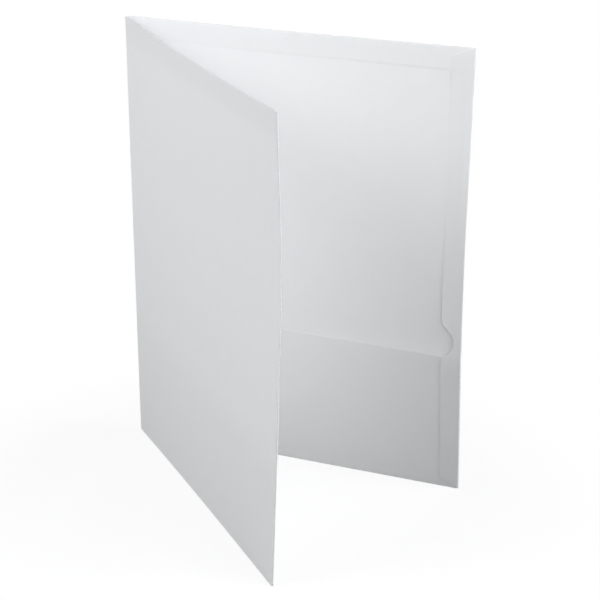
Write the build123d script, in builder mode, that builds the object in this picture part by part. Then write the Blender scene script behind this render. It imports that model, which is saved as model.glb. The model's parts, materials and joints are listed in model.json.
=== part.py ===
import os
from math import cos, radians, sin

from build123d import *

# Two pocket folder of white card, standing open on its bottom creases. Millimetres and degrees.
# The back cover lies along +X from the spine with its inside facing -Y, and Z is up.
# The front cover is the back cover's mirror image across the middle of the opening.

# Covers
cover_height = 298.5        # bottom crease to top crease
cover_width = 234.8         # centre of the spine bend to the outside of the fore-edge crease
board = 0.4                 # thickness of the card
opening_angle = 41.3        # between the covers, as it stands

# Films of glue and the room left between layers
glue_film = 0.1
glue_margin = 1.5           # bare card between a film and the edges of its strip
pocket_slack = 0.2          # room inside an empty pocket
closing_play = 0.15         # from a cover's layers to the middle of the closed folder
tuck_play = 1.0             # from the fore-edge crease to the ends tucked under the side strip
flex_width = 0.5            # flat card of the spine crease beside each cover panel

# Top strip
top_strip_width = 14.5
top_strip_setback = 3.0     # from the spine bend's centre to the strip's near end
top_strip_slant = 6.0       # how much further the near end is cut back along its free edge

# Pocket
pocket_height = 95.2
pocket_setback = 6.0        # from the spine bend's centre to the pocket's near end
pocket_slant = 12.0         # how much further the near end is cut back along its open edge

# Side strip
side_strip_foot_width = 13.5
side_strip_head_width = 15.0
side_strip_foot_rise = 6.4  # height of the mitre at its foot
side_strip_head_drop = 4.8  # height of the mitre at its head
pocket_ramp = 45.0          # height over which it comes down from the pocket to the cover
head_ramp = 20.0            # height over which it climbs from the cover to the top strip

# Notch in the side strip's free edge, just above the pocket
notch_height = 25.5
notch_reach = 10.0          # depth of its straight flanks, if they ran on to a point
notch_round = 7.0
notch_lap = 2.2             # how far it starts below the pocket's open edge

# Depths of the turned-in layers under the inner face of their cover
over_pocket = pocket_slack + board + glue_film
over_top_strip = glue_film + board + glue_film

# Creases: each bends the card round half a turn
spine_bend = pocket_slack + board + closing_play
spine_outside = spine_bend + board
pocket_crease_reach = pocket_slack / 2 + board
top_crease_reach = glue_film / 2 + board
fore_edge_crease_reach = over_pocket / 2 + board

# Edges of a cover panel: distances from the spine bend's centre and heights
panel_foot = pocket_crease_reach
panel_head = cover_height - top_crease_reach
panel_fore_edge = cover_width - fore_edge_crease_reach
tuck_end = panel_fore_edge - tuck_play
top_strip_edge = cover_height - top_strip_width
pocket_ramp_head = pocket_height + pocket_ramp
head_ramp_foot = top_strip_edge - head_ramp

# The origin is under the middle of the folder as it stands, on the surface that it stands on
turn = radians(opening_angle)
crease_middle = spine_bend - over_pocket / 2
front_reach = panel_fore_edge * sin(turn) + crease_middle * cos(turn) + fore_edge_crease_reach
spine_x = (spine_outside - cover_width) / 2
spine_y = (front_reach - spine_outside) / 2

inner_face_y = spine_y + spine_bend
inner_face = Plane(origin=(spine_x, inner_face_y, 0), x_dir=(1, 0, 0), z_dir=(0, -1, 0))
mirror_plane = Plane(
    origin=(spine_x, spine_y, 0),
    x_dir=(cos(turn / 2), -sin(turn / 2), 0),
    z_dir=(sin(turn / 2), cos(turn / 2), 0),
)

pieces = {}


def crease_section(plane, space):
    """Card bent back on itself round a space, towards the plane's X, from the cover panel at Y = 0."""
    middle = (0, -space / 2)
    with BuildSketch(plane) as section:
        with BuildLine():
            Line((0, -space), (0, -space - board))
            CenterArc(middle, space / 2 + board, -90, 90)
            CenterArc(middle, space / 2 + board, 0, 90)
            Line((0, board), (0, 0))
            CenterArc(middle, space / 2, 90, -90)
            CenterArc(middle, space / 2, 0, -90)
        make_face()
    return section.sketch


def strip_edge(height):
    """Distance from the spine bend's centre to the side strip's free edge."""
    taper = (side_strip_head_width - side_strip_foot_width) / cover_height
    return cover_width - side_strip_foot_width - taper * height


# Cover panel
with BuildPart() as cover_panel:
    with BuildSketch(inner_face):
        with BuildLine():
            Polyline(
                (flex_width, panel_foot),
                (panel_fore_edge, panel_foot),
                (panel_fore_edge, panel_head),
                (flex_width, panel_head),
                close=True,
            )
        make_face()
    extrude(amount=-board)
pieces["cover_panel"] = cover_panel

# Top strip, its crease and its film of glue
with BuildPart() as top_strip:
    with BuildSketch(inner_face.offset(glue_film)):
        with BuildLine():
            Polyline(
                (top_strip_setback, panel_head),
                (tuck_end, panel_head),
                (tuck_end, top_strip_edge),
                (top_strip_setback + top_strip_slant, top_strip_edge),
                close=True,
            )
        make_face()
    extrude(amount=board)
pieces["top_strip"] = top_strip

top_crease_start = Plane(
    origin=(spine_x + top_strip_setback, inner_face_y, panel_head), x_dir=(0, 0, 1), z_dir=(-1, 0, 0)
)
with BuildPart() as top_crease:
    extrude(crease_section(top_crease_start, glue_film), amount=top_strip_setback - tuck_end)
pieces["top_crease"] = top_crease

with BuildPart() as top_strip_glue:
    with BuildSketch(inner_face):
        with BuildLine():
            Polyline(
                (top_strip_setback + top_strip_slant + glue_margin, panel_head - glue_margin),
                (tuck_end - glue_margin, panel_head - glue_margin),
                (tuck_end - glue_margin, top_strip_edge + glue_margin),
                (top_strip_setback + top_strip_slant + glue_margin, top_strip_edge + glue_margin),
                close=True,
            )
        make_face()
    extrude(amount=glue_film)
pieces["top_strip_glue"] = top_strip_glue

# Pocket and the crease along its bottom
with BuildPart() as pocket:
    with BuildSketch(inner_face.offset(pocket_slack)):
        with BuildLine():
            Polyline(
                (pocket_setback, panel_foot),
                (tuck_end, panel_foot),
                (tuck_end, pocket_height),
                (pocket_setback + pocket_slant, pocket_height),
                close=True,
            )
        make_face()
    extrude(amount=board)
pieces["pocket"] = pocket

pocket_crease_start = Plane(
    origin=(spine_x + pocket_setback, inner_face_y, panel_foot), x_dir=(0, 0, -1), z_dir=(1, 0, 0)
)
with BuildPart() as pocket_crease:
    extrude(crease_section(pocket_crease_start, pocket_slack), amount=tuck_end - pocket_setback)
pieces["pocket_crease"] = pocket_crease

# Side strip: a ribbon that follows the layers under it, trimmed to its mitred and notched outline
strip_levels = (
    (panel_foot, over_pocket),
    (pocket_height, over_pocket),
    (pocket_ramp_head, glue_film),
    (head_ramp_foot, glue_film),
    (top_strip_edge, over_top_strip),
    (panel_head, over_top_strip),
)
notch_foot = pocket_height - notch_lap
notch_middle = notch_foot + notch_height / 2
notch_head = notch_foot + notch_height
notch_tip = strip_edge(notch_middle) + notch_reach
mitre_foot = panel_foot + side_strip_foot_rise
mitre_head = panel_head - side_strip_head_drop
fore_edge_side = Plane(
    origin=(spine_x + panel_fore_edge, inner_face_y, 0), x_dir=(0, -1, 0), z_dir=(-1, 0, 0)
)
with BuildPart() as side_strip:
    with BuildSketch(fore_edge_side):
        with BuildLine():
            Polyline(
                *[(level, height) for height, level in strip_levels],
                *[(level + board, height) for height, level in reversed(strip_levels)],
                close=True,
            )
        make_face()
    extrude(amount=panel_fore_edge - strip_edge(cover_height))
    with BuildSketch(inner_face) as strip_outline:
        with BuildLine():
            Polyline(
                (panel_fore_edge, panel_foot),
                (strip_edge(mitre_foot), mitre_foot),
                (strip_edge(notch_foot), notch_foot),
                (notch_tip, notch_middle),
                (strip_edge(notch_head), notch_head),
                (strip_edge(mitre_head), mitre_head),
                (panel_fore_edge, panel_head),
                close=True,
            )
        make_face()
        fillet(strip_outline.vertices().sort_by(Axis.X)[-3], radius=notch_round)
    extrude(amount=over_pocket + over_top_strip + board, mode=Mode.INTERSECT)
pieces["side_strip"] = side_strip

# Fore-edge crease: wider where the side strip lies over the pocket and over the top strip
crease_sections = [
    crease_section(Plane((spine_x + panel_fore_edge, inner_face_y, height)), level)
    for height, level in strip_levels
]
with BuildPart() as fore_edge_crease:
    loft(crease_sections, ruled=True)
pieces["fore_edge_crease"] = fore_edge_crease

# Films of glue that hold the side strip: to the cover, to the top strip's end and to the pocket's end
glue_end = tuck_end - glue_margin
side_glue_foot = max(notch_head, pocket_ramp_head) + glue_margin
side_glue_head = head_ramp_foot - glue_margin
with BuildPart() as side_strip_glue:
    with BuildSketch(inner_face):
        with BuildLine():
            Polyline(
                (strip_edge(side_glue_foot) + glue_margin, side_glue_foot),
                (glue_end, side_glue_foot),
                (glue_end, side_glue_head),
                (strip_edge(side_glue_head) + glue_margin, side_glue_head),
                close=True,
            )
        make_face()
    extrude(amount=glue_film)
pieces["side_strip_glue"] = side_strip_glue

corner_glue_foot = top_strip_edge + glue_margin
corner_glue_head = mitre_head - glue_margin
with BuildPart() as corner_glue:
    with BuildSketch(inner_face.offset(over_top_strip - glue_film)):
        with BuildLine():
            Polyline(
                (strip_edge(corner_glue_foot) + glue_margin, corner_glue_foot),
                (glue_end, corner_glue_foot),
                (glue_end, corner_glue_head),
                (strip_edge(corner_glue_head) + glue_margin, corner_glue_head),
                close=True,
            )
        make_face()
    extrude(amount=glue_film)
pieces["corner_glue"] = corner_glue

pocket_glue_foot = mitre_foot + glue_margin
pocket_glue_head = notch_foot - glue_margin
with BuildPart() as pocket_glue:
    with BuildSketch(inner_face.offset(over_pocket - glue_film)):
        with BuildLine():
            Polyline(
                (strip_edge(pocket_glue_foot) + glue_margin, pocket_glue_foot),
                (glue_end, pocket_glue_foot),
                (glue_end, pocket_glue_head),
                (strip_edge(pocket_glue_head) + glue_margin, pocket_glue_head),
                close=True,
            )
        make_face()
    extrude(amount=glue_film)
pieces["pocket_glue"] = pocket_glue

# Spine crease: a narrow flat beside each cover panel and the bend between them
front_along = Vector(cos(turn), -sin(turn))
front_out = Vector(-sin(turn), -cos(turn))
with BuildPart() as spine_crease:
    with BuildSketch(Plane((spine_x, spine_y, panel_foot))):
        with BuildLine():
            CenterArc((0, 0), spine_bend, 90, 180 - opening_angle)
            CenterArc((0, 0), spine_outside, 90, 180 - opening_angle)
            Polyline((0, spine_bend), (flex_width, spine_bend), (flex_width, spine_outside), (0, spine_outside))
            Polyline(
                front_out * spine_bend,
                front_out * spine_bend + front_along * flex_width,
                front_out * spine_outside + front_along * flex_width,
                front_out * spine_outside,
            )
        make_face()
    extrude(amount=panel_head - panel_foot)

os.makedirs("parts", exist_ok=True)
spine_crease.part.label = "spine_crease"
export_step(spine_crease.part, "parts/spine_crease.step")
for name, piece in pieces.items():
    piece.part.label = f"back_{name}"
    export_step(piece.part, f"parts/back_{name}.step")
    with BuildPart() as front_piece:
        mirror(piece.part, about=mirror_plane)
    front_piece.part.label = f"front_{name}"
    export_step(front_piece.part, f"parts/front_{name}.step")

print(f"spine bend's centre at x {spine_x:.4f}, y {spine_y:.4f}")
print(f"covers' inner face at y {inner_face_y:.4f}, fore-edge at x {spine_x + cover_width:.4f}")
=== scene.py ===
import json
import math

import bmesh
import bpy
from mathutils import Matrix, Vector


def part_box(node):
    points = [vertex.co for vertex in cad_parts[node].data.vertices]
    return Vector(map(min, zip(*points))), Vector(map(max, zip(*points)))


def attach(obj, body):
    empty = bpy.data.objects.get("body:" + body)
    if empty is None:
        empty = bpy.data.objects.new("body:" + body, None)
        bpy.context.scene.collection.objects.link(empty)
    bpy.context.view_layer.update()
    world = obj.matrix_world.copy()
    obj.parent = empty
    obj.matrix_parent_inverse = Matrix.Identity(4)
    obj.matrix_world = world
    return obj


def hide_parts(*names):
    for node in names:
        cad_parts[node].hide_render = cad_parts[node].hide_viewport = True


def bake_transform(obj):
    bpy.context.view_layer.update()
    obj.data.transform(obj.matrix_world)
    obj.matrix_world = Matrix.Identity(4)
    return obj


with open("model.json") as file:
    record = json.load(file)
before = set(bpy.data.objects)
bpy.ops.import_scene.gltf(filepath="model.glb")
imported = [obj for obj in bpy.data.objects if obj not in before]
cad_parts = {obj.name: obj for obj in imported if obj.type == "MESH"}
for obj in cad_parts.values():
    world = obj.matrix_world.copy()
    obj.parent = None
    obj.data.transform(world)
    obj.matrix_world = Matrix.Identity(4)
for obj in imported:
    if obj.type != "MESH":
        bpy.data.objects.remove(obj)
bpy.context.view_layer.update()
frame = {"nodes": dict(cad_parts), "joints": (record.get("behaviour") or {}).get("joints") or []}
scene = bpy.context.scene
scene.view_settings.view_transform = "Standard"

mm = 0.001
hinge = frame["joints"][0]
spine = Vector((hinge["pos_m"][0], hinge["pos_m"][1], 0.0))     # foot of the spine's bend axis
opening = math.radians(180.0 - hinge["range_deg"][1])           # between the covers, as it stands
print("frame loaded:", len(frame["nodes"]), "nodes, opening", round(math.degrees(opening), 1), "degrees")


def coverBox(part):
    low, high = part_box("back_" + part)
    return low - spine, high - spine        # along the cover, outwards from the bend's axis, up


innerFace = coverBox("cover_panel")[0].y
boardThickness = coverBox("cover_panel")[1].y - innerFace
filmThickness = innerFace - coverBox("top_strip")[1].y
pocketHead, topStripFoot = coverBox("pocket")[1].z, coverBox("top_strip")[0].z


def smooth(share):
    share = min(1.0, max(0.0, share))
    return share * share * (3 - 2 * share)


def fade(pair, place):
    # from none at the first place to all at the second
    return smooth((place - pair[0]) / (pair[1] - pair[0]))


def between(pair, share):
    return pair[0] + (pair[1] - pair[0]) * share


class Wire:
    # a node socket that takes arithmetic: each operator adds a Math node to its tree
    def __init__(self, tree, socket=None):
        self.tree, self.socket = tree, socket

    def add(self, kind, settings=None, inputs=None, out=0):
        node = self.tree.nodes.new(kind)
        for name, value in (settings or {}).items():
            setattr(node, name, value)
        for name, value in (inputs or {}).items():
            if isinstance(value, Wire):
                self.tree.links.new(value.socket, node.inputs[name])
            else:
                node.inputs[name].default_value = value
        return Wire(self.tree, node.outputs[out] if node.outputs else None)

    def pick(self, out):
        return Wire(self.tree, self.socket.node.outputs[out])

    def math(self, operation, first, second=0.0, third=0.0, clamp=False):
        settings = {"operation": operation, "use_clamp": clamp}
        return self.add("ShaderNodeMath", settings, {0: first, 1: second, 2: third})

    def blend(self, factor, first, second):
        # two colours, by the share of the second
        mix = self.add("ShaderNodeMix", {"data_type": "RGBA"}, {0: factor, 6: first, 7: second})
        return mix.pick(2)

    def __add__(self, other):
        return self.math("ADD", self, other)

    def __sub__(self, other):
        return self.math("SUBTRACT", self, other)

    def __rsub__(self, other):
        return self.math("SUBTRACT", other, self)

    def __mul__(self, other):
        return self.math("MULTIPLY", self, other)

    def __truediv__(self, other):
        return self.math("DIVIDE", self, other)

    def __pow__(self, other):
        return self.math("POWER", self, other)

    __radd__, __rmul__ = __add__, __mul__


def freshTree(owner):
    owner.use_nodes = True
    owner.node_tree.nodes.clear()
    return Wire(owner.node_tree)


def opaque(colour):
    return (*colour, 1.0)


def noise(start, place, size, detail, roughness=0.5):
    return start.add("ShaderNodeTexNoise", {}, {
        "Vector": place, "Scale": 1 / size, "Detail": detail, "Roughness": roughness})


def relief(start, height, strength, depth):
    return start.add("ShaderNodeBump", {}, {"Height": height, "Strength": strength, "Distance": depth})


# Card: smooth white board with a faint grain along the spine, raw fibre on its cut edges, painted shade on
# its folds' outer bends and painted shade where less light shines through other layers
card = {
    "colour": (0.866, 0.868, 0.873),
    "cloud": (0.853, 0.856, 0.862),         # thinner patches of the board
    "cutEdge": (0.875, 0.875, 0.872),
    # painted shade on each fold's outer bend, where the fold would catch light
    "foldShade": (0.620, 0.625, 0.630),
    "paintedThroughShade": (0.800, 0.802, 0.807),       # painted shade, over two other boards, where less light shines through
    "sheen": 0.30,
    "grain": (1.0, 1.0, 0.22),              # draws the fibres out up the cover
    "fibreNoise": (0.35 * mm, 4.0, 0.60),   # size, detail and roughness
    "toothNoise": (0.35 * mm / 2.2, 2.0),
    "cloudNoise": (9.0 * mm, 3.0, 0.55),
    "patches": {"cloud": 1.6, "fibre": 0.5, "start": 0.55},
    "foldShading": {"fibre": 2.4, "start": 0.5},
    "cutShare": 0.8,
    "relief": {"fibre": 0.6, "tooth": 0.3, "cutFibre": 1.5, "strength": 0.12, "depth": 0.03 * mm},
    "roughness": {"middle": 0.52, "fibre": 0.16, "cloud": 0.06, "cut": 0.25},
}


def cardMaterial():
    material = bpy.data.materials.new("whiteCard")
    start = freshTree(material)
    place = start.add("ShaderNodeTexCoord").pick("Object")
    grain = start.add("ShaderNodeMapping", {}, {"Vector": place, "Scale": card["grain"]})
    fibre = noise(start, grain, *card["fibreNoise"])
    tooth = noise(start, place, *card["toothNoise"])
    cloud = noise(start, place, *card["cloudNoise"])
    cut, folded, paintedThroughShade = (start.add("ShaderNodeAttribute", {"attribute_name": name}).pick("Fac")
                            for name in ("cutEdge", "foldLine", "paintedThroughShade"))

    patches, foldShading = card["patches"], card["foldShading"]
    mottle = cloud * patches["cloud"] + fibre * patches["fibre"]
    patch = start.math("ADD", mottle, -patches["start"], clamp=True)
    # painted shade along the folds, broken up by the fibre pattern
    foldShaded = start.math("MULTIPLY", folded, fibre * foldShading["fibre"] - foldShading["start"], clamp=True)
    colour = start.blend(patch, opaque(card["colour"]), opaque(card["cloud"]))
    # painted shade where less light shines through layers
    colour = start.blend(paintedThroughShade, colour, opaque(card["paintedThroughShade"]))
    colour = start.blend(foldShaded, colour, opaque(card["foldShade"]))
    colour = start.blend(cut * card["cutShare"], colour, opaque(card["cutEdge"]))

    rise, rough = card["relief"], card["roughness"]
    height = fibre * rise["fibre"] + tooth * rise["tooth"] + cut * fibre * rise["cutFibre"]
    plain = rough["middle"] - (rough["fibre"] + rough["cloud"]) / 2         # the patterns lie round one half
    roughness = fibre * rough["fibre"] + cloud * rough["cloud"] + plain + cut * rough["cut"]
    shader = start.add("ShaderNodeBsdfPrincipled", {}, {
        "Base Color": colour, "Roughness": roughness, "Specular IOR Level": card["sheen"],
        "Normal": relief(start, height, rise["strength"], rise["depth"])})
    start.add("ShaderNodeOutputMaterial", {}, {"Surface": shader})
    return material


# Glue: thin milky films that hold the turned-in edges down
glue = {
    "colour": (0.80, 0.78, 0.70), "thin": (0.86, 0.85, 0.80),
    "ripple": (2.5 * mm, 3.0),              # size and detail
    "roughness": 0.35, "unevenness": 0.20,
    "strength": 0.30, "depth": 0.03 * mm,
    "squeezed": 0.9,                        # share of a film that is pressed out under a strip's free edge
}


def glueMaterial():
    material = bpy.data.materials.new("driedGlue")
    start = freshTree(material)
    ripple = noise(start, start.add("ShaderNodeTexCoord").pick("Object"), *glue["ripple"])
    shader = start.add("ShaderNodeBsdfPrincipled", {}, {
        "Base Color": start.blend(ripple, opaque(glue["colour"]), opaque(glue["thin"])),
        "Roughness": ripple * glue["unevenness"] + glue["roughness"],
        "Normal": relief(start, ripple, glue["strength"], glue["depth"])})
    start.add("ShaderNodeOutputMaterial", {}, {"Surface": shader})
    return material


cardFinish, glueFinish = cardMaterial(), glueMaterial()
print("materials made")

# Bow: how far each cover's fore-edge stands outwards at its foot, how it leans, where it bends (height, turn
# and softness of each bend), how all that grows away from the spine, and the crown of the head edge
coverSize = {"width": 234.8 * mm, "height": 298.5 * mm}
noBend = (0.0, 0.0, 1.0 * mm)
bow = {
    "back": {
        "side": 1.0, "turn": 0.0, "foot": 1.95 * mm, "lean": -0.0321, "crown": 0.0,
        "growth": 1.63,
        "bends": ((pocketHead, 0.135, 2.5 * mm), (101.5 * mm, -0.118, 7.0 * mm),
                  (150.0 * mm, 0.0889, 60.0 * mm)),
    },
    "front": {
        "side": -1.0, "turn": -opening, "foot": 6.34 * mm, "lean": -0.0410, "crown": 2.97 * mm,
        "growth": 1.42,
        "bends": ((205.0 * mm, 0.0725, 60.0 * mm), noBend, noBend),
    },
}
mouthSteps = (-2.0, -1.0, 0.0, 1.0, 2.0, 3.0, 4.0, 5.5, 7.0, 8.5, 10.0, 14.0)
bendRows = [pocketHead + step * mm for step in mouthSteps]      # finer cells at the pocket's mouth


def bowTree():
    tree = bpy.data.node_groups.new("coverBow", "GeometryNodeTree")
    sockets = tree.interface
    sockets.new_socket("Geometry", in_out="OUTPUT", socket_type="NodeSocketGeometry")
    sockets.new_socket("Geometry", in_out="INPUT", socket_type="NodeSocketGeometry")
    bendNames = [[f"Bend {index} {what}" for what in ("Height", "Turn", "Softness")] for index in (1, 2, 3)]
    for name in ("Cover Width", "Cover Height", "Foot Bow", "Lean", *sum(bendNames, []), "Head Crown",
                 "Growth", "Side", "Turn"):
        sockets.new_socket(name, in_out="INPUT", socket_type="NodeSocketFloat")
    sockets.new_socket("Spine", in_out="INPUT", socket_type="NodeSocketVector")
    sockets.new_socket("Finish", in_out="INPUT", socket_type="NodeSocketMaterial")

    start = Wire(tree)
    given = start.add("NodeGroupInput")
    place = start.add("ShaderNodeSeparateXYZ", {}, {0: start.add("GeometryNodeInputPosition")})
    along = place.pick("X") / given.pick("Cover Width")
    up = place.pick("Z")
    foreEdge = given.pick("Foot Bow") + given.pick("Lean") * up
    for height, turn, softness in bendNames:
        above = start.math("SMOOTH_MAX", up - given.pick(height), 0.0, given.pick(softness))
        foreEdge = foreEdge + given.pick(turn) * above
    rise = up / given.pick("Cover Height")
    crown = given.pick("Head Crown") * start.math("SINE", along * math.pi) * rise * rise
    outward = foreEdge * along ** given.pick("Growth") + crown
    moved = start.add("ShaderNodeCombineXYZ", {}, {
        "X": place.pick("X"), "Y": place.pick("Y") + outward * given.pick("Side"), "Z": up})
    turned = start.add("ShaderNodeVectorRotate", {"rotation_type": "Z_AXIS"}, {
        "Vector": moved, "Angle": given.pick("Turn")})
    stood = start.add("ShaderNodeVectorMath", {"operation": "ADD"}, {0: turned, 1: given.pick("Spine")})
    bowed = start.add("GeometryNodeSetPosition", {}, {"Geometry": given.pick("Geometry"), "Position": stood})
    whole = start.add("GeometryNodeRealizeInstances", {}, {"Geometry": bowed})
    dressed = start.add("GeometryNodeSetMaterial", {}, {"Geometry": whole, "Material": given.pick("Finish")})
    start.add("NodeGroupOutput", {}, {"Geometry": dressed})
    return tree


coverBow = bowTree()
print("bow rule made")

# Sheets of card: an outline along the cover and up it, cut into cells so that it can bow, then made a board
sheet = {
    "cell": 6.0 * mm, "pressSteps": 4,
    "softEdge": 0.05 * mm, "edgeSegments": 2, "edgeProfile": 0.5,
    "smoothAngle": math.radians(21.0),
    "weld": 1e-4 * mm, "onSeam": 1e-3 * mm,         # distances that count as none
}


def cuts(low, high):
    count = max(1, round((high - low) / sheet["cell"]))
    return [low + (high - low) * index / count for index in range(1, count)]


def pressCuts(edge, width):
    # finer cells from a free edge to where the pressing ends
    return [edge + width * step / sheet["pressSteps"] for step in range(1, sheet["pressSteps"] + 1)]


def slanted(low, high, footCut=0.0, headCut=0.0):
    # four corners, the near ones cut back along the foot or the head
    return [(low.x + footCut, low.z), (high.x, low.z), (high.x, high.z), (low.x + headCut, high.z)]


def cutSheet(outline, near, far, seam=None, lift=None, extraRows=(), extraColumns=(), paintedThroughShade=None):
    flat = bmesh.new()
    flat.faces.new([flat.verts.new((along, 0.0, up)) for along, up in outline])
    alongs, ups = zip(*outline)
    columns = sorted([*cuts(min(alongs), max(alongs)), *extraColumns])
    rows = sorted([*cuts(min(ups), max(ups)), *extraRows])
    planes = [((place, 0, 0), (1, 0, 0)) for place in columns]
    planes += [((0, 0, place), (0, 0, 1)) for place in rows]
    for place, normal in planes:
        everything = flat.verts[:] + flat.edges[:] + flat.faces[:]
        bmesh.ops.bisect_plane(flat, geom=everything, dist=sheet["weld"], plane_co=place, plane_no=normal)

    board = bmesh.new()
    cutEdge = board.faces.layers.float.new("cutEdge")
    throughShadeShare = board.verts.layers.float.new("paintedThroughShade")
    layers = {}
    for vert in flat.verts:
        shifts = lift(vert.co.x, vert.co.z) if lift else (0.0, 0.0)
        layers[vert] = [board.verts.new((vert.co.x, depth + shift, vert.co.z))
                        for depth, shift in zip((near, far), shifts)]
    for face in flat.faces:
        board.faces.new([layers[vert][0] for vert in face.verts])
        board.faces.new([layers[vert][1] for vert in reversed(face.verts)])
    soft = []
    for edge in flat.edges:
        if edge.is_boundary:
            first, last = (layers[vert] for vert in edge.verts)
            rim = board.faces.new((first[0], last[0], last[1], first[1]))
            middle = (edge.verts[0].co + edge.verts[1].co) / 2
            if seam and not seam(middle.x, middle.z):
                rim[cutEdge] = 1.0
                soft += [board.edges.get((first[index], last[index])) for index in (0, 1)]
    flat.free()
    bmesh.ops.recalc_face_normals(board, faces=board.faces[:])
    if soft:
        bmesh.ops.bevel(board, geom=soft, offset=sheet["softEdge"], offset_type="OFFSET",
                        segments=sheet["edgeSegments"], profile=sheet["edgeProfile"], affect="EDGES",
                        clamp_overlap=True)
    # share of painted shade, where less light shines through, for each point
    for vert in board.verts:
        vert[throughShadeShare] = paintedThroughShade(vert.co) if paintedThroughShade else 0.0
    return board


# Folds: pairs of points through the board, swept along the fold
fold = {"steps": 16}


def foldShading(steps):
    # painted shade along a fold, most in the middle of the fold
    return [math.sin(math.pi * step / steps) ** 2 for step in range(steps + 1)]


def sweepFold(stations, foldShadeShares):
    board = bmesh.new()
    foldLine = board.verts.layers.float.new("foldLine")
    rings = []
    for station in stations:
        ring = []
        for (outer, inner), amount in zip(station, foldShadeShares):
            pair = [board.verts.new(outer), board.verts.new(inner)]
            # the outer face carries the fold's painted shade
            pair[0][foldLine] = amount
            ring.append(pair)
        rings.append(ring)
    for ring, following in zip(rings, rings[1:]):
        for side in (0, 1):
            for index in range(len(ring) - 1):
                board.faces.new((ring[index][side], ring[index + 1][side],
                                 following[index + 1][side], following[index][side]))
        for end in (0, -1):
            board.faces.new((ring[end][0], ring[end][1], following[end][1], following[end][0]))
    for ring in (rings[0], rings[-1]):
        for first, second in zip(ring, ring[1:]):
            board.faces.new((first[0], second[0], second[1], first[1]))
    bmesh.ops.recalc_face_normals(board, faces=board.faces[:])
    return board


def halfTurn(base, outDirection, space):
    # card bent back on itself round a space, from the cover panel to the turned-in layer
    middle = innerFace - space / 2
    pairs = []
    for step in range(fold["steps"] + 1):
        angle = math.pi / 2 - math.pi * step / fold["steps"]
        pair = []
        for reach in (space / 2 + boardThickness, space / 2):
            point = base + outDirection * (reach * math.cos(angle))
            pair.append(Vector((point.x, middle + reach * math.sin(angle), point.z)))
        pairs.append(pair)
    return pairs


# Cover panel: painted shade where another layer lies on its inside, as less light shines through it
panel = {
    "stripThroughShade": 0.60, "stripFade": (277.0 * mm, 291.0 * mm),
    "pocketThroughShade": (0.62, 0.30), "pocketFade": (98.0 * mm, 70.0 * mm),        # shares at its foot and head
}


def coverPanel():
    low, high = coverBox("cover_panel")

    def paintedThroughShade(point):
        if point.y < innerFace + boardThickness / 2:
            return 0.0          # on the inside
        onStrip = panel["stripThroughShade"] * fade(panel["stripFade"], point.z)
        onPocket = between(panel["pocketThroughShade"], min(1.0, point.z / pocketHead))
        return onStrip + onPocket * fade(panel["pocketFade"], point.z)

    return cutSheet(slanted(low, high), high.y, low.y, extraRows=bendRows, paintedThroughShade=paintedThroughShade)


# Top strip: its near end is cut back along the free edge, towards which it is pressed thin, less so at the
# corner
topStrip = {
    "slant": 6.0 * mm, "pressWidth": 13.0 * mm,
    "pressed": (0.32 * mm, 0.20 * mm), "paintedThroughShade": (0.22, 0.0),      # near the spine and at the corner; the second pair is painted shade where less light shines through
    "cornerReach": (0.5, 0.95),             # shares of the cover's width
}


def topStripSheet():
    low, high = coverBox("top_strip")

    def corner(along):
        return fade(topStrip["cornerReach"], along / coverSize["width"])

    def press(along, up):
        share = max(0.0, 1 - (up - low.z) / topStrip["pressWidth"])
        pressed = between(topStrip["pressed"], corner(along))
        return glue["squeezed"] * filmThickness * share, pressed * share

    return cutSheet(slanted(low, high, footCut=topStrip["slant"]), high.y, low.y,
                    seam=lambda along, up: up > high.z - sheet["onSeam"], lift=press,
                    extraRows=pressCuts(low.z, topStrip["pressWidth"]),
                    paintedThroughShade=lambda point: between(topStrip["paintedThroughShade"], corner(point.x)))


# Pocket: its near end is cut back along the open edge, and its painted shade, for less light shining through,
# grows towards the fore-edge
pocket = {"slant": 12.0 * mm, "paintedThroughShade": (0.05, 0.78)}


def pocketSheet():
    low, high = coverBox("pocket")
    return cutSheet(slanted(low, high, headCut=pocket["slant"]), high.y, low.y,
                    seam=lambda along, up: up < low.z + sheet["onSeam"],
                    extraRows=[row for row in bendRows if row < pocketHead],
                    paintedThroughShade=lambda point: between(pocket["paintedThroughShade"], (point.x / coverSize["width"]) ** 2))


# Side strip: it lies on the cover, over the pocket's end and over the top strip's end
sideStrip = {
    "footWidth": 13.5 * mm, "headWidth": 15.0 * mm,
    "footRise": 6.4 * mm, "headDrop": 4.8 * mm,                     # mitres
    "pocketRamp": 45.0 * mm, "headRamp": 20.0 * mm,
    "edgeLift": 0.35 * mm, "liftFoot": 70.0 * mm, "liftHead": 190.0 * mm,       # most at the notch
    "footLift": 0.25,                                               # share of the lift left at the foot
    "pressWidth": 11.0 * mm, "pressed": 0.36 * mm, "pressFade": (120.0 * mm, 200.0 * mm),
    "pocketPressed": 0.15 * mm, "pocketPressHead": 85.0 * mm,
    "headPressed": 0.25 * mm, "headStep": 1.0 * mm,                 # pushed down just below the top strip
    "paintedThroughShade": (0.22, 1.0),                                         # painted shade for less light shining through, above the notch and over the pocket
    "notchFoot": 93.0 * mm, "notchHeight": 25.5 * mm, "notchReach": 12.9 * mm, "notchRound": 11.0 * mm,
    "notchSteps": 14,
}
headFade = (topStripFoot - sideStrip["headRamp"], topStripFoot)


def stripEdge(up):
    taper = (sideStrip["headWidth"] - sideStrip["footWidth"]) / coverSize["height"]
    return coverSize["width"] - sideStrip["footWidth"] - taper * up


def stripLevel(up):
    # how far the strip's underside lies below the cover's inner face
    overPocket = innerFace - coverBox("pocket")[0].y
    overTopStrip = innerFace - coverBox("top_strip")[0].y
    pocketFade = (pocketHead + sideStrip["pocketRamp"], pocketHead)
    return filmThickness + overPocket * fade(pocketFade, up) + overTopStrip * fade(headFade, up)


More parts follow.
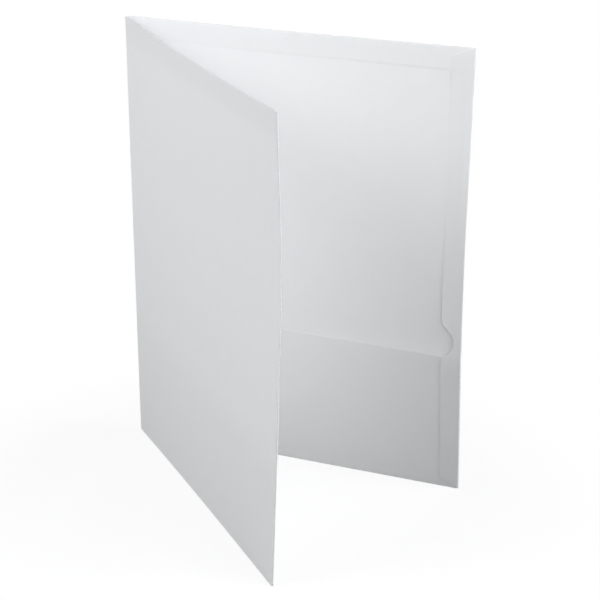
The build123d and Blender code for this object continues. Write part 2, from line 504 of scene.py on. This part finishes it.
def stripLift(along, up):
    # shifts of the strip's underside and of its face
    fromEdge = along - stripEdge(up)
    nearEdge = (1 - min(1.0, max(0.0, fromEdge / sideStrip["footWidth"]))) ** 2
    lifted = fade((sideStrip["liftHead"], pocketHead), up)
    lifted *= between((sideStrip["footLift"], 1.0), fade((sideStrip["liftFoot"], sideStrip["notchFoot"]), up))
    shift = -stripLevel(up) - sideStrip["edgeLift"] * lifted * nearEdge
    if up < topStripFoot - sideStrip["headStep"] / 2:
        shift += sideStrip["headPressed"] * fade(headFade, up) * nearEdge
    pressed = sideStrip["pressed"] * fade(sideStrip["pressFade"], up)
    pressed += sideStrip["pocketPressed"] * fade((sideStrip["notchFoot"], sideStrip["pocketPressHead"]), up)
    pressed *= max(0.0, 1 - fromEdge / sideStrip["pressWidth"])
    return shift + min(pressed, glue["squeezed"] * filmThickness), shift + pressed


def notchPoints():
    # two straight flanks and the arc between them, from the notch's foot up to its head
    half = sideStrip["notchHeight"] / 2
    middle = sideStrip["notchFoot"] + half
    tip = stripEdge(middle) + sideStrip["notchReach"]
    flank = math.atan2(half, sideStrip["notchReach"])
    centre = tip - sideStrip["notchRound"] / math.sin(flank)
    sweep = math.pi / 2 - flank
    points = [(stripEdge(middle - half), middle - half)]
    for step in range(sideStrip["notchSteps"] + 1):
        angle = sweep * (2 * step / sideStrip["notchSteps"] - 1)
        points.append((centre + sideStrip["notchRound"] * math.cos(angle),
                       middle + sideStrip["notchRound"] * math.sin(angle)))
    return points + [(stripEdge(middle + half), middle + half)]


def sideStripSheet():
    low, high = coverBox("side_strip")
    footMitre, headMitre = low.z + sideStrip["footRise"], high.z - sideStrip["headDrop"]
    outline = [(high.x, low.z), (high.x, high.z), (stripEdge(headMitre), headMitre), *reversed(notchPoints()),
               (stripEdge(footMitre), footMitre)]
    throughShadeFade = (sideStrip["notchFoot"] + sideStrip["notchHeight"], sideStrip["pocketPressHead"])
    return cutSheet(outline, innerFace, innerFace - boardThickness,
                    seam=lambda along, up: along > high.x - sheet["onSeam"], lift=stripLift,
                    extraRows=[*bendRows, topStripFoot - sideStrip["headStep"], topStripFoot],
                    extraColumns=pressCuts(stripEdge(0.0), sideStrip["pressWidth"]),
                    paintedThroughShade=lambda point: between(sideStrip["paintedThroughShade"], fade(throughShadeFade, point.z)))


# Creases: along the top, along the bottom of the pocket and along the fore-edge
def crossCrease(part, layer, end):
    # end 0 is the cover's foot, end 1 its head
    low, high = coverBox(part)
    foldUp = coverBox("cover_panel")[end].z
    outDirection = Vector((0, 0, 1 if end else -1))
    space = innerFace - coverBox(layer)[1].y
    stations = [halfTurn(Vector((along, 0, foldUp)), outDirection, space)
                for along in [low.x, *cuts(low.x, high.x), high.x]]
    return sweepFold(stations, foldShading(fold["steps"]))


def topCrease():
    return crossCrease("top_crease", "top_strip", 1)


def pocketCrease():
    return crossCrease("pocket_crease", "pocket", 0)


def foreEdgeCrease():
    low, high = coverBox("fore_edge_crease")
    foldAlong = coverBox("cover_panel")[1].x
    stations = [halfTurn(Vector((foldAlong, 0, up)), Vector((1, 0, 0)), stripLevel(up))
                for up in sorted([low.z, *cuts(low.z, high.z), *bendRows, high.z])]
    return sweepFold(stations, foldShading(fold["steps"]))


# Films of glue, as wide as their nodes
def glueFilm(part):
    low, high = coverBox(part)
    lean = stripEdge(low.z) - stripEdge(high.z)         # of the side strip's edge, and of its films with it
    outline = slanted(low, high, footCut=0.0 if part == "top_strip_glue" else lean)
    return cutSheet(outline, high.y, low.y)


def boardMesh(name, shape):
    mesh = bpy.data.meshes.new(name)
    shape.to_mesh(mesh)
    shape.free()
    return mesh


def shadeSoftly(mesh):
    mesh.polygons.foreach_set("use_smooth", [True] * len(mesh.polygons))
    mesh.set_sharp_from_angle(angle=sheet["smoothAngle"])


def addObject(name, data):
    made = bpy.data.objects.new(name, data)
    scene.collection.objects.link(made)
    return made


def placePiece(side, part, shape, finish):
    name, node = side + part.title().replace("_", ""), side + "_" + part
    form = bow[side]
    if form["side"] < 0:
        for vert in shape.verts:
            vert.co.y = -vert.co.y
        shape.normal_update()
        bmesh.ops.recalc_face_normals(shape, faces=shape.faces[:])
    piece = addObject(name, boardMesh(name, shape))
    modifier = piece.modifiers.new("bow", "NODES")
    modifier.node_group = coverBow
    values = {
        "Cover Width": coverSize["width"], "Cover Height": coverSize["height"], "Foot Bow": form["foot"],
        "Lean": form["lean"], "Head Crown": form["crown"], "Growth": form["growth"], "Side": form["side"],
        "Turn": form["turn"], "Spine": spine, "Finish": finish,
    }
    for index, bend in enumerate(form["bends"], 1):
        for what, value in zip(("Height", "Turn", "Softness"), bend):
            values[f"Bend {index} {what}"] = value
    for item in coverBow.interface.items_tree:
        if item.in_out == "INPUT" and item.name in values:
            modifier[item.identifier] = values[item.name]
    bowed = bpy.data.meshes.new_from_object(piece.evaluated_get(bpy.context.evaluated_depsgraph_get()))
    piece.modifiers.remove(modifier)
    piece.data = bowed
    bowed.name = name
    shadeSoftly(bowed)
    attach(piece, side)
    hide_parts(node)


boards = {
    "cover_panel": coverPanel, "top_strip": topStripSheet, "top_crease": topCrease, "pocket": pocketSheet,
    "pocket_crease": pocketCrease, "side_strip": sideStripSheet, "fore_edge_crease": foreEdgeCrease,
}
films = ("top_strip_glue", "side_strip_glue", "corner_glue", "pocket_glue")
for side in bow:
    for part, maker in boards.items():
        placePiece(side, part, maker(), cardFinish)
    for part in films:
        placePiece(side, part, glueFilm(part), glueFinish)
    print(side, "cover made")

# Spine crease: a narrow flat beside each panel and the bend between them, which meets both covers as they
# stand
spineCrease = {"steps": 20, "flat": 0.5 * mm}


def makeSpine():
    low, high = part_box("spine_crease")
    bend = math.pi - opening
    profile = []
    for step in range(spineCrease["steps"] + 1):
        angle = math.pi / 2 + bend * step / spineCrease["steps"]
        profile.append([Vector((math.cos(angle), math.sin(angle), 0)) * reach
                        for reach in (innerFace + boardThickness, innerFace)])
    backFlat = [point + Vector((spineCrease["flat"], 0, 0)) for point in profile[0]]
    away = Vector((math.cos(opening), -math.sin(opening), 0)) * spineCrease["flat"]
    frontFlat = [point + away for point in profile[-1]]
    profile = [backFlat, *profile, frontFlat]
    stations = [[[spine + point + Vector((0, 0, up)) for point in pair] for pair in profile]
                for up in [low.z, *cuts(low.z, high.z), high.z]]
    mesh = boardMesh("spineFold", sweepFold(stations, foldShading(len(profile) - 1)))
    mesh.materials.append(cardFinish)
    shadeSoftly(mesh)
    piece = addObject("spineFold", mesh)
    spine + profile[1][1]
    spine + profile[-2][1]
    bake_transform(piece)
    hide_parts("spine_crease")


makeSpine()
print("spine made")

# Camera: at the photograph's angle, aimed between the covers
view = {
    "azimuth": 23.321, "elevation": 22.522, "distance": 1225.0 * mm, "roll": -0.187,
    "target": (138.78 * mm, -40.0 * mm, 136.47 * mm),               # from the spine's foot
    "focalPixels": 1924.2, "imagePixels": 600, "sensor": 36.0,      # the sensor in Blender's own unit
    "clip": (0.05, 50.0),
}


def direction(place):
    azimuth, elevation = math.radians(place["azimuth"]), math.radians(place["elevation"])
    return Vector((math.sin(azimuth) * math.cos(elevation), -math.cos(azimuth) * math.cos(elevation),
                   math.sin(elevation)))


def makeCamera():
    away = direction(view)
    right = Vector((0, 0, 1)).cross(away).normalized()
    turned = Matrix((right, away.cross(right), away)).transposed()
    turned = turned @ Matrix.Rotation(math.radians(view["roll"]), 3, "Z")
    place = spine + Vector(view["target"]) + away * view["distance"]
    lens = bpy.data.cameras.new("camera")
    lens.lens = view["focalPixels"] / view["imagePixels"] * view["sensor"]
    lens.sensor_width = view["sensor"]
    lens.clip_start, lens.clip_end = view["clip"]
    scene.camera = addObject("camera", lens)
    scene.camera.matrix_world = Matrix.Translation(place) @ turned.to_4x4()


makeCamera()


def seenByCamera(start):
    # also in gloss and through glass
    ray = start.add("ShaderNodeLightPath")
    mirrored = ray.pick("Is Glossy Ray") + ray.pick("Is Transmission Ray")
    return start.math("ADD", ray.pick("Is Camera Ray"), mirrored, clamp=True)


# Floor and backdrop: white to the camera, keeping the folder's shadow, and a darker grey to the light
floor = {
    "size": 12.0, "bounce": (0.284, 0.280, 0.276), "seen": (0.92, 0.92, 0.92),
    "glow": 0.84, "fade": (0.13, 0.26),     # outwards from the folder's shadow to plain white
    "tooth": (2.5 * mm, 2.0), "strength": 0.05, "depth": 0.1 * mm,
}
white = (1.0, 1.0, 1.0)


def makeFloor():
    material = bpy.data.materials.new("floorPaper")
    start = freshTree(material)
    place = start.add("ShaderNodeTexCoord").pick("Object")
    bump = relief(start, noise(start, place, *floor["tooth"]), floor["strength"], floor["depth"])
    bounce, paper = (start.add("ShaderNodeBsdfDiffuse", {}, {"Color": opaque(floor[name]), "Normal": bump})
                     for name in ("bounce", "seen"))
    glow = start.add("ShaderNodeEmission", {}, {"Color": opaque(white), "Strength": 1.0})
    away = start.add("ShaderNodeVectorMath", {"operation": "LENGTH"}, {0: place}, "Value")
    share = start.add("ShaderNodeMapRange", {"interpolation_type": "SMOOTHSTEP"}, {
        "Value": away, "From Min": floor["fade"][0], "From Max": floor["fade"][1],
        "To Min": floor["glow"], "To Max": 1.0})
    shown = start.add("ShaderNodeMixShader", {}, {0: share, 1: paper, 2: glow})
    surface = start.add("ShaderNodeMixShader", {}, {0: seenByCamera(start), 1: bounce, 2: shown})
    start.add("ShaderNodeOutputMaterial", {}, {"Surface": surface})
    half = floor["size"] / 2
    corners = [(-half, -half, 0), (half, -half, 0), (half, half, 0), (-half, half, 0)]
    mesh = bpy.data.meshes.new("floor")
    mesh.from_pydata(corners, [], [(0, 1, 2, 3)])
    mesh.materials.append(material)
    ground = addObject("floor", mesh)


makeFloor()

# Light: soft studio lamps round the folder, aimed at its middle, and a room that gives none. The one behind
# stays under the head edge, so that it lights the back's outside only
lamps = {
    "lampLeft": {"azimuth": -50, "elevation": 35, "distance": 2.2, "size": 1.2, "power": 19.1},
    "lampLeftNear": {"azimuth": -40, "elevation": 15, "distance": 0.7, "size": 0.4, "power": 1.05},
    "lampLeftOver": {"azimuth": -60, "elevation": 50, "distance": 0.8, "size": 0.5, "power": 0.90},
    "lampFront": {"azimuth": 40, "elevation": 35, "distance": 2.2, "size": 1.2, "power": 12.9},
    "lampRight": {"azimuth": 65, "elevation": 25, "distance": 2.2, "size": 0.8, "power": 6.2},
    "lampRightNear": {"azimuth": 75, "elevation": 40, "distance": 1.0, "size": 0.4, "power": 1.33},
    "lampSide": {"azimuth": 95, "elevation": 30, "distance": 2.2, "size": 1.2, "power": 23.1},
    "lampSideLow": {"azimuth": 110, "elevation": 12, "distance": 2.2, "size": 1.2, "power": 16.0},
    "lampBack": {"azimuth": 195, "elevation": 0, "distance": 1.3, "size": 0.3, "power": 7.5},
}
lampColour = (0.987, 1.0, 1.012)
lampTarget = Vector((0.0, 0.0, 0.15))


def makeLight():
    for name, lamp in lamps.items():
        light = bpy.data.lights.new(name, "AREA")
        light.shape, light.size, light.energy = "DISK", lamp["size"], lamp["power"]
        light.color = lampColour
        away = direction(lamp)
        holder = addObject(name, light)
        holder.location = away * lamp["distance"] + lampTarget
        holder.rotation_euler = away.to_track_quat("Z", "Y").to_euler()
        holder.visible_camera = False
    scene.world = bpy.data.worlds.new("room")
    start = freshTree(scene.world)
    unlit, shown = (start.add("ShaderNodeBackground", {}, {"Color": opaque(white), "Strength": strength})
                    for strength in (0.0, 1.0))
    mixed = start.add("ShaderNodeMixShader", {}, {0: seenByCamera(start), 1: unlit, 2: shown})
    start.add("ShaderNodeOutputWorld", {}, {"Surface": mixed})


makeLight()
print("camera, floor and light set")
